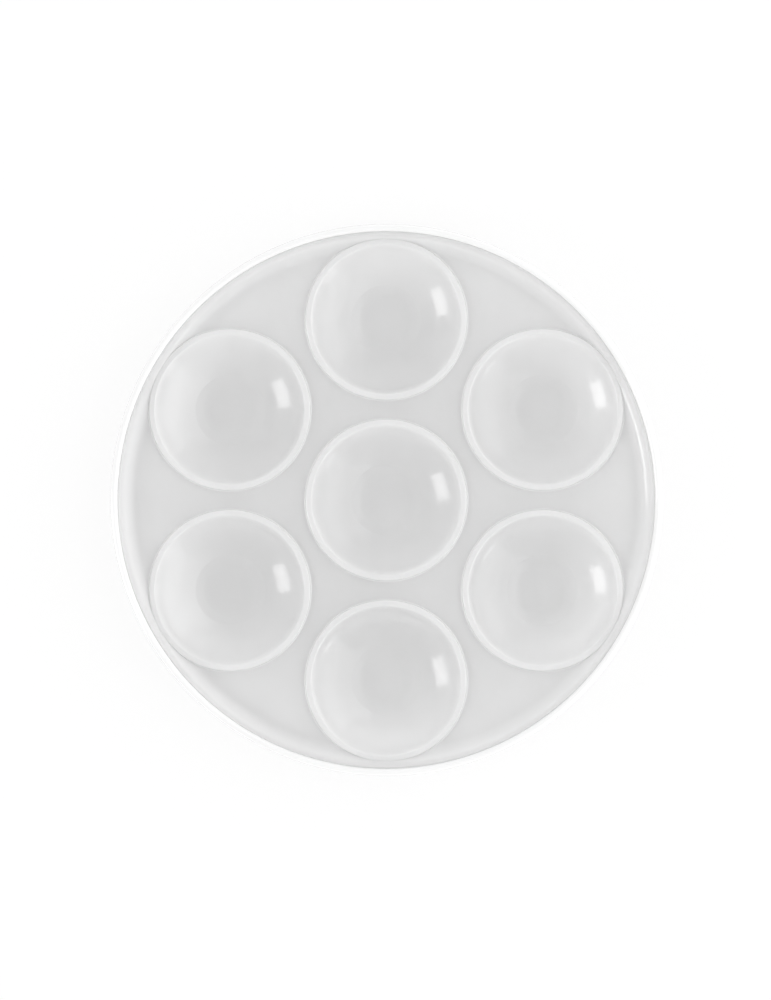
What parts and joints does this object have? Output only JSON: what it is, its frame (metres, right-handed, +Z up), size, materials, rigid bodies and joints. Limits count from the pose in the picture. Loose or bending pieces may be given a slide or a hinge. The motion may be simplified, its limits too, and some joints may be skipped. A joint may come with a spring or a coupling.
{
  "type": "mixing palette",
  "caption": "Round white plastic mixing palette: a ring of dished wells round a middle well, in a shallow tray with a coved, beaded edge.",
  "frame": {"origin": "middle of the palette on the surface that it stands on, under the middle well", "axes": "+Z up out of the wells, +Y towards the back well, +X to the right of it"},
  "size_m": [0.175, 0.175, 0.0165],
  "materials": {
    "moulded_plastic": "milky white moulded plastic with a smooth, softly glossy surface; a little light shows through its thin walls"
  },
  "bodies": {
    "root": {"deck": "moulded_plastic", "side_wall": "moulded_plastic", "rim_bead": "moulded_plastic", "well_centre": "moulded_plastic", "well_back": "moulded_plastic", "well_back_left": "moulded_plastic", "well_front_left": "moulded_plastic", "well_front": "moulded_plastic", "well_front_right": "moulded_plastic", "well_back_right": "moulded_plastic"}
  },
  "joints": []
}
